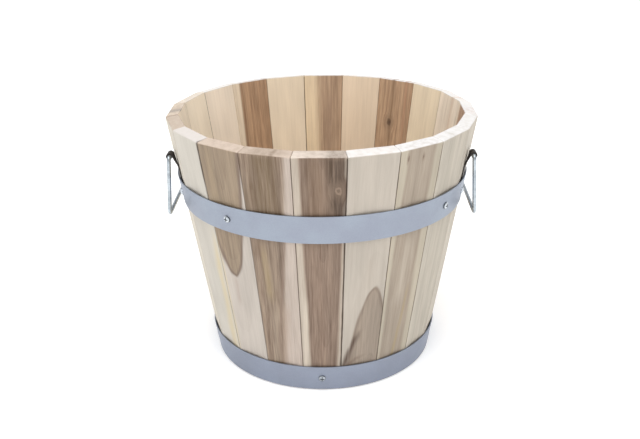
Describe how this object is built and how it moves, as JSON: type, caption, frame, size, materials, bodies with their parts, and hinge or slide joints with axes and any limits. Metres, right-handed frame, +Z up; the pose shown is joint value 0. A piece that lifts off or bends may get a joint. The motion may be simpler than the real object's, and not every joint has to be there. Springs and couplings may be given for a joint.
{
  "type": "wooden bucket planter",
  "caption": "Round tapered bucket planter of flat wooden staves held by two metal hoops, with a boarded floor that drains and a drop handle on each side.",
  "frame": {"origin": "middle of the circle on which the staves stand", "axes": "+Z up; -Y is the front; the handles hang at -X (left) and +X (right)"},
  "size_m": [0.3746, 0.3746, 0.3154],
  "materials": {
    "stave_01_acacia": "planed acacia, matt",
    "stave_02_acacia": "planed acacia, matt",
    "stave_03_acacia": "planed acacia, matt",
    "stave_04_acacia": "planed acacia, matt",
    "stave_05_acacia": "planed acacia, matt",
    "stave_06_acacia": "planed acacia, matt",
    "stave_07_acacia": "planed acacia, matt",
    "stave_08_acacia": "planed acacia, matt",
    "stave_09_acacia": "planed acacia, matt",
    "stave_10_acacia": "planed acacia, matt",
    "stave_11_acacia": "planed acacia, matt",
    "stave_12_acacia": "planed acacia, matt",
    "stave_13_acacia": "planed acacia, matt",
    "stave_14_acacia": "planed acacia, matt",
    "stave_15_acacia": "planed acacia, matt",
    "stave_16_acacia": "planed acacia, matt",
    "stave_17_acacia": "planed acacia, matt",
    "stave_18_acacia": "planed acacia, matt",
    "stave_19_acacia": "planed acacia, matt",
    "stave_20_acacia": "planed acacia, matt",
    "floor_acacia": "planed acacia, matt",
    "cleat_wood": "sawn wood, matt",
    "hoop_zinc": "zinc-plated strip, satin",
    "rivet_zinc": "zinc-plated, satin",
    "screw_zinc": "zinc-plated, satin",
    "strap_steel": "zinc-plated, dull",
    "handle_wire": "zinc-plated wire, satin"
  },
  "bodies": {
    "bucket": {"stave_01": "stave_01_acacia", "stave_02": "stave_02_acacia", "stave_03": "stave_03_acacia", "stave_04": "stave_04_acacia", "stave_05": "stave_05_acacia", "stave_06": "stave_06_acacia", "stave_07": "stave_07_acacia", "stave_08": "stave_08_acacia", "stave_09": "stave_09_acacia", "stave_10": "stave_10_acacia", "stave_11": "stave_11_acacia", "stave_12": "stave_12_acacia", "stave_13": "stave_13_acacia", "stave_14": "stave_14_acacia", "stave_15": "stave_15_acacia", "stave_16": "stave_16_acacia", "stave_17": "stave_17_acacia", "stave_18": "stave_18_acacia", "stave_19": "stave_19_acacia", "stave_20": "stave_20_acacia", "floor_board_1": "floor_acacia", "floor_board_2": "floor_acacia", "floor_board_3": "floor_acacia", "floor_board_4": "floor_acacia", "floor_board_5": "floor_acacia", "floor_cleat_front": "cleat_wood", "floor_cleat_rear": "cleat_wood", "floor_cleat_screws": "screw_zinc", "upper_hoop": "hoop_zinc", "upper_hoop_rivets": "rivet_zinc", "upper_hoop_screws": "screw_zinc", "lower_hoop": "hoop_zinc", "lower_hoop_rivets": "rivet_zinc", "lower_hoop_screws": "screw_zinc", "handle_strap_left_front": "strap_steel", "handle_strap_left_rear": "strap_steel", "handle_strap_right_front": "strap_steel", "handle_strap_right_rear": "strap_steel", "handle_strap_screws": "screw_zinc"},
    "left_handle": {"handle_left": "handle_wire"},
    "right_handle": {"handle_right": "handle_wire"}
  },
  "joints": [
    {"name": "left_handle_swing", "type": "hinge", "parent": "bucket", "child": "left_handle", "pos_m": [-0.1798, 0, 0.2728], "axis": [0, 1, 0], "range_deg": [-7, 174]},
    {"name": "right_handle_swing", "type": "hinge", "parent": "bucket", "child": "right_handle", "pos_m": [0.1798, 0, 0.2728], "axis": [0, -1, 0], "range_deg": [-7, 174]}
  ]
}
